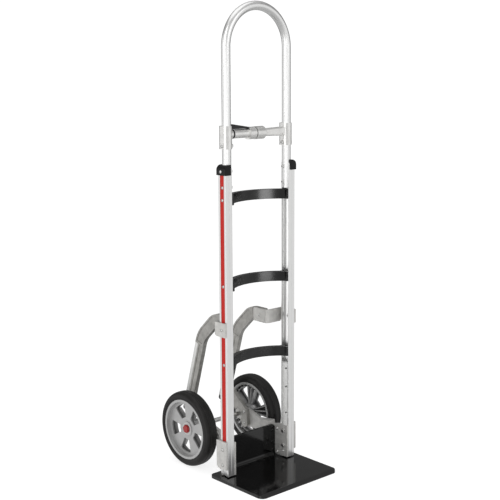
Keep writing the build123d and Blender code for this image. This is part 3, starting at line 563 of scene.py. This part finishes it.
def addHubCap(side, outward):
    profile = [(outward * (hubCap["seat"] + place), radius) for place, radius in hubCap["profile"]]
    shape = turnedShape(profile, jointAt[side + "_wheel"], hubCap["steps"])
    addPiece(side + "HubCapTurned", shape, side + "_hub_cap")


# Shielded bearing: outer race, sunk shield with a step, inner race
bearing = {"width": 11.0, "outer": 17.45, "outerEdge": 0.5, "bore": 8.0, "boreEdge": 0.4, "steps": 48,
           "face": [(0.0, 17.0), (0.0, 15.4), (0.7, 15.2), (0.7, 14.4), (0.4, 14.0), (0.4, 11.8),
                    (0.7, 11.4), (0.7, 10.8), (0.0, 10.6), (0.0, 8.4)]}


def addBearings(side):
    width = bearing["width"]
    face = bearing["face"]
    far = [(width - place, radius) for place, radius in reversed(face)]
    bore = [(bearing["boreEdge"], bearing["bore"]), (width - bearing["boreEdge"], bearing["bore"])]
    outer = [(width - bearing["outerEdge"], bearing["outer"]), (bearing["outerEdge"], bearing["outer"])]
    low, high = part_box(side + "_bearings")
    centre = jointAt[side + "_wheel"].copy()
    whole = bmesh.new()
    for start in (low[0], high[0] - width * mm):
        centre.x = start
        absorb(whole, turnedShape(face + bore + far + outer + face[:1], centre, bearing["steps"]))
    addPiece(side + "BearingsTurned", whole, side + "_bearings")


for side, outward in outwardOf.items():
    addTyre(side)
    addHubCap(side, outward)
    addBearings(side)
print("wheels dressed")

# Loop handle: the tube's ring is drawn up one leg, spun round the bend and drawn down the other
loop = {"tube": 14.3, "legX": 127.6, "bendHeight": 1382.1, "foot": 933.9, "sides": 48, "bendSteps": 72,
        "wall": 2.2, "boreDeep": 40.0, "level": 0.1, "weld": 0.01}


# Draws a ring of edges up or down and gives the ring at the far end
def drawnLeg(shape, ring, rise):
    made = bmesh.ops.extrude_edge_only(shape, edges=ring)["geom"]
    bmesh.ops.translate(shape, verts=onlyVerts(made), vec=(0, 0, rise * mm))
    return [edge for edge in onlyEdges(made)
            if abs(edge.verts[0].co.z - edge.verts[1].co.z) < loop["level"] * mm]


# A point's place on the straightened tube, so that its drawn lines follow the bend
def tubePlace(spot):
    leg = loop["legX"] * mm
    rise = spot.z - loop["bendHeight"] * mm
    if rise > 0:
        return Vector((hypot(spot.x, rise) - leg, spot.y, (pi - atan2(rise, spot.x)) * leg))
    return Vector((abs(spot.x) - leg, spot.y, rise if spot.x < 0 else pi * leg - rise))


def addLoop():
    shape = bmesh.new()
    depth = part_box("loop_handle")[0][1] + loop["tube"] * mm
    legRise = loop["bendHeight"] - loop["foot"]
    start = Matrix.Translation((-loop["legX"] * mm, depth, loop["foot"] * mm))
    circle = bmesh.ops.create_circle(shape, segments=loop["sides"], radius=loop["tube"] * mm, matrix=start)
    ring = list({edge for vert in circle["verts"] for edge in vert.link_edges})
    ring = drawnLeg(shape, ring, legRise)
    tops = list({vert for edge in ring for vert in edge.verts})
    bend = bmesh.ops.spin(shape, geom=tops + ring, cent=(0, depth, loop["bendHeight"] * mm), axis=(0, 1, 0),
                          angle=pi, steps=loop["bendSteps"])["geom_last"]
    drawnLeg(shape, onlyEdges(bend), -legRise)
    bmesh.ops.remove_doubles(shape, verts=shape.verts, dist=loop["weld"] * mm)
    feet = [edge for edge in shape.edges if edge.is_boundary]
    ends = bmesh.ops.holes_fill(shape, edges=feet, sides=0)["faces"]
    bmesh.ops.inset_individual(shape, faces=ends, thickness=loop["wall"] * mm)
    for bore in bmesh.ops.extrude_discrete_faces(shape, faces=ends)["faces"]:
        bmesh.ops.translate(shape, verts=bore.verts, vec=(0, 0, loop["boreDeep"] * mm))
    bmesh.ops.recalc_face_normals(shape, faces=shape.faces)
    place = shape.verts.layers.float_vector.new("tubePlace")
    for vert in shape.verts:
        vert[place] = tubePlace(vert.co)
    addPiece("loopTube", shape, "loop_handle", drawnAluminium("drawnTube", "tubePlace"), weighted=False)


addLoop()
print("loop handle drawn")

# Button heads with a hexagon socket, sizes in millimetres
# What reaches past the shank's radius times wideShare belongs to a head or a nut
bolt = {"shank": 3.175, "tip": 0.7, "steps": 24, "socket": 2.1, "socketRim": 0.3, "socketDeep": 1.8,
        "wideShare": 1.2, "level": 0.01,
        "head": [(0.0, 4.9), (0.3, 5.2), (1.0, 5.2), (1.9, 4.9), (2.7, 4.2), (3.2, 3.5), (3.45, 2.9)]}
# A wide part that is taller than any head is a nut
nut = {"across": 11.0, "sides": 6, "rim": 0.7, "rimDrop": 0.55, "corner": 0.35, "cornerSteps": 2,
       "upright": 0.9, "tallerThan": 4.5}


# Each loose solid in a node's mesh, as a list of its vertices
def islands(shape):
    left = set(shape.verts)
    while left:
        found = [left.pop()]
        for vert in found:
            for edge in vert.link_edges:
                other = edge.other_vert(vert)
                if other in left:
                    left.remove(other)
                    found.append(other)
        yield found


def hexagonReach(angle, half):
    return half / cos((angle + pi / 6) % (pi / 3) - pi / 6)


def settle(whole, shape, place):
    bmesh.ops.recalc_face_normals(shape, faces=shape.faces)
    bmesh.ops.transform(shape, matrix=place, verts=shape.verts)
    absorb(whole, shape)


# A bolt standing on the origin, its head up the Z axis and its shank down to the tip
def addBolt(whole, place, length):
    shape = bmesh.new()
    shank = bolt["shank"]
    profile = [(-length, 0.0), (-length, shank - bolt["tip"]), (bolt["tip"] - length, shank), (0.0, shank)]
    points = [shape.verts.new((radius * mm, 0, height * mm)) for height, radius in profile + bolt["head"]]
    spinRound(shape, points, (0, 0, 0), (0, 0, 1), bolt["steps"])
    top = max(vert.co.z for vert in shape.verts)
    rim = [edge for edge in shape.edges
           if edge.is_boundary and edge.verts[0].co.z > top - bolt["level"] * mm]
    face = bmesh.ops.contextual_create(shape, geom=rim)["faces"]
    bmesh.ops.inset_region(shape, faces=face, thickness=bolt["socketRim"] * mm)
    for vert in face[0].verts:
        reach = hexagonReach(atan2(vert.co.y, vert.co.x), bolt["socket"]) * mm
        vert.co.xy = vert.co.xy.normalized() * reach
    cup = bmesh.ops.extrude_discrete_faces(shape, faces=face)["faces"]
    bmesh.ops.translate(shape, verts=cup[0].verts, vec=(0, 0, -bolt["socketDeep"] * mm))
    settle(whole, shape, place)


# A hexagon nut standing on the origin, with its corners turned down at both faces
def addNut(whole, place, height):
    shape = bmesh.new()
    reach = hexagonReach(pi / 6, nut["across"] / 2) * mm
    half = height * mm / 2
    bmesh.ops.create_circle(shape, cap_ends=True, segments=nut["sides"], radius=reach)
    raised = bmesh.ops.extrude_face_region(shape, geom=shape.faces[:])["geom"]
    bmesh.ops.translate(shape, verts=onlyVerts(raised), vec=(0, 0, height * mm))
    bmesh.ops.recalc_face_normals(shape, faces=shape.faces)
    ends = [face for face in shape.faces if abs(face.normal.z) > nut["upright"]]
    bmesh.ops.inset_individual(shape, faces=ends, thickness=nut["rim"] * mm, depth=0.0)
    sides = [edge for edge in shape.edges if abs(edge.verts[0].co.z - edge.verts[1].co.z) > half]
    for vert in {vert for edge in sides for vert in edge.verts}:
        vert.co.z += nut["rimDrop"] * mm * (1 if vert.co.z < half else -1)
    bmesh.ops.bevel(shape, geom=sides, offset=nut["corner"] * mm, segments=nut["cornerSteps"], profile=0.5,
                    affect="EDGES", material=-1)
    settle(whole, shape, place)


# Heads and nuts stand where the CAD node has them: a wide end is a head, a tall wide solid a nut
def addFasteners(node, axis):
    plain = joinedCopy(node)
    whole = bmesh.new()
    across = [index for index in range(3) if index != axis]
    for island in islands(plain):
        low = Vector([min(vert.co[index] for vert in island) for index in range(3)])
        high = Vector([max(vert.co[index] for vert in island) for index in range(3)])
        middle = (low + high) / 2
        reach = bolt["wideShare"] * bolt["shank"] * mm
        wide = [vert.co[axis] for vert in island
                if hypot(*(vert.co[index] - middle[index] for index in across)) > reach]
        wideLow, wideHigh = min(wide), max(wide)
        isNut = wideHigh - wideLow > nut["tallerThan"] * mm
        outward = 1 if isNut or wideHigh > middle[axis] else -1
        seat = middle.copy()
        seat[axis] = wideLow if outward > 0 else wideHigh
        direction = Vector([outward if index == axis else 0 for index in range(3)])
        place = Matrix.Translation(seat) @ direction.to_track_quat("Z", "Y").to_matrix().to_4x4()
        if isNut:
            addNut(whole, place, (wideHigh - wideLow) / mm)
        else:
            tip = low[axis] if outward > 0 else high[axis]
            addBolt(whole, place, abs(seat[axis] - tip) / mm)
    plain.free()
    addPiece(node + "Turned", whole, node)


# The axis that each node's bolts lie along: 0 is X, 1 is Y
boltAxis = {"loop_bolts": 0, "crossbar_bolts": 0, "brace_clamp_bolts": 0, "upper_bracket_bolts": 0,
            "climber_bolts": 0, "wheel_bracket_bolts": 0, "nose_bolts": 1}
for node, axis in boltAxis.items():
    addFasteners(node, axis)
print("fasteners turned")

# The photograph's viewpoint, in the frame's metres
view = {"eye": (-2.252, -2.536, 1.330), "aim": (1.173, 1.293, 0.4265), "rollDegrees": -0.299, "lens": 76.02,
        "sensor": 36.0}


# A place at a point, turned so that minus Z, along which cameras and lamps look, points at the aim
def facing(at, aim):
    away = (Vector(at) - Vector(aim)).normalized()
    return Matrix.Translation(at) @ away.to_track_quat("Z", "Y").to_matrix().to_4x4()


def placeCamera():
    lens = bpy.data.cameras.new("photoCamera")
    lens.lens = view["lens"]
    lens.sensor_width = view["sensor"]
    camera = bpy.data.objects.new("photoCamera", lens)
    scene.collection.objects.link(camera)
    roll = Matrix.Rotation(radians(view["rollDegrees"]), 4, "Z")
    camera.matrix_world = facing(view["eye"], view["aim"]) @ roll
    scene.camera = camera


studio = {"floorRadius": 2.8, "floorSides": 96, "floorColor": (0.42, 0.42, 0.42), "floorGlow": 0.80,
          "backdropRadius": 9.0, "backdropSplits": 5, "backdropColor": (0, 0, 0), "backdropGlow": 1.05,
          "paperRough": 0.9, "room": 0.24}
# Large cards round the truck: where each stands as seen from it, the angles inside which it is whole and
# outside which it is gone, its brightness and how much taller it is than wide
cards = {
    "frontCard": {"toward": (-0.66, -0.74, 0.15), "inner": 62, "outer": 94, "bright": 0.66, "tall": 1},
    "leftCard": {"toward": (-0.67, 0.74, -0.05), "inner": 16, "outer": 34, "bright": 0.92, "tall": 1},
    "rightCard": {"toward": (0.67, -0.74, -0.05), "inner": 16, "outer": 36, "bright": 0.82, "tall": 1},
    "ceiling": {"toward": (0, 0, 1), "inner": 38, "outer": 66, "bright": 0.48, "tall": 1},
    "underside": {"toward": (0, 0, -1), "inner": 48, "outer": 74, "bright": 0.50, "tall": 1},
    "leftBox": {"toward": (-0.97, -0.24, -0.10), "inner": 8, "outer": 24, "bright": 1.8, "tall": 1.3},
}
# Lamps; a strip lights only the pieces that it names
softboxes = {
    "keyLeft": {"at": (-3.2, -0.9, 2.6), "aim": (0, 0, 0.7), "size": (1.6, 2.4), "watts": 22},
    "frontFill": {"at": (0.9, -3.9, 2.4), "aim": (0, 0, 0.7), "size": (2.2, 2.2), "watts": 14},
    "topSoft": {"at": (-0.2, 0.2, 4.0), "aim": (0, 0, 0.5), "size": (3.0, 3.0), "watts": 20},
    "barStrip": {"at": (-0.15, -3.0, 0.65), "aim": (0, 0, 0.66), "size": (1.6, 1.3), "watts": 55,
                 "only": ("upper_crossbarSoft", "middle_crossbarSoft", "lower_crossbarSoft")},
    "loopStrip": {"at": (-1.3, -2.7, 0.95), "aim": (0, 0, 0.95), "size": (2.8, 0.9), "watts": 6.2,
                  "only": ("loopTube",)},
}


# The world's own nodes, which hold the cards
class Room(Finish):
    def __init__(self, name):
        self.world = bpy.data.worlds.new(name)
        self.world.use_nodes = True
        self.tree = self.world.node_tree
        self.shader = self.tree.nodes["Background"]
        self.place = self.node("TexCoord", output="Generated")

    def card(self, toward, inner, outer, tall):
        squat = self.node("VectorMath", {"operation": "MULTIPLY"}, {0: self.place, 1: (1, 1, 1 / tall)})
        ray = self.node("VectorMath", {"operation": "NORMALIZE"}, {0: squat})
        turned = self.node("VectorMath", {"operation": "DOT_PRODUCT"},
                           {0: ray, 1: Vector(toward).normalized()}, output="Value")
        return self.node("MapRange", {"interpolation_type": "SMOOTHSTEP"},
                         {"Value": turned, "From Min": cos(radians(outer)),
                          "From Max": cos(radians(inner))})


# Floor and backdrop of glowing paper: the metal mirrors the room's cards instead of them
def addPaper(name, shape, color, glow):
    mesh = bpy.data.meshes.new(name)
    shape.to_mesh(mesh)
    shape.free()
    sheet = bpy.data.objects.new(name, mesh)
    scene.collection.objects.link(sheet)
    sheet.visible_glossy = False
    sheet.visible_shadow = False
    paper = Finish(name + "Paper")
    paper.surface(color=(*color, 1), rough=studio["paperRough"])
    paper.plug(paper.shader.inputs["Emission Color"], (1, 1, 1, 1))
    paper.plug(paper.shader.inputs["Emission Strength"], glow)
    mesh.materials.append(paper.material)
    return sheet


def placePaper():
    shape = bmesh.new()
    bmesh.ops.create_circle(shape, cap_ends=True, segments=studio["floorSides"],
                            radius=studio["floorRadius"])
    addPaper("floor", shape, studio["floorColor"], studio["floorGlow"])
    shape = bmesh.new()
    bmesh.ops.create_icosphere(shape, subdivisions=studio["backdropSplits"],
                               radius=studio["backdropRadius"])
    backdrop = addPaper("backdrop", shape, studio["backdropColor"], studio["backdropGlow"])
    backdrop.visible_diffuse = False


def placeSoftbox(name, light):
    lamp = bpy.data.lights.new(name, "AREA")
    lamp.shape = "RECTANGLE"
    lamp.size, lamp.size_y = light["size"]
    lamp.energy = light["watts"]
    box = bpy.data.objects.new(name, lamp)
    scene.collection.objects.link(box)
    box.visible_camera = False
    box.matrix_world = facing(light["at"], light["aim"])
    if "only" in light:
        lit = bpy.data.collections.new(name + "Lit")
        for piece in light["only"]:
            lit.objects.link(bpy.data.objects[piece])
        box.light_linking.receiver_collection = lit


def hangCards():
    room = Room("studioRoom")
    bright = studio["room"]
    for card in cards.values():
        share = room.card(card["toward"], card["inner"], card["outer"], card["tall"])
        bright = share * (card["bright"] - bright) + bright
    room.plug(room.shader.inputs["Strength"], bright)
    room.plug(room.shader.inputs["Color"], (1, 1, 1, 1))
    scene.world = room.world


placeCamera()
placePaper()
for name, light in softboxes.items():
    placeSoftbox(name, light)
hangCards()
scene.view_settings.view_transform = "Standard"
print("studio ready:", len(softboxes), "softboxes")
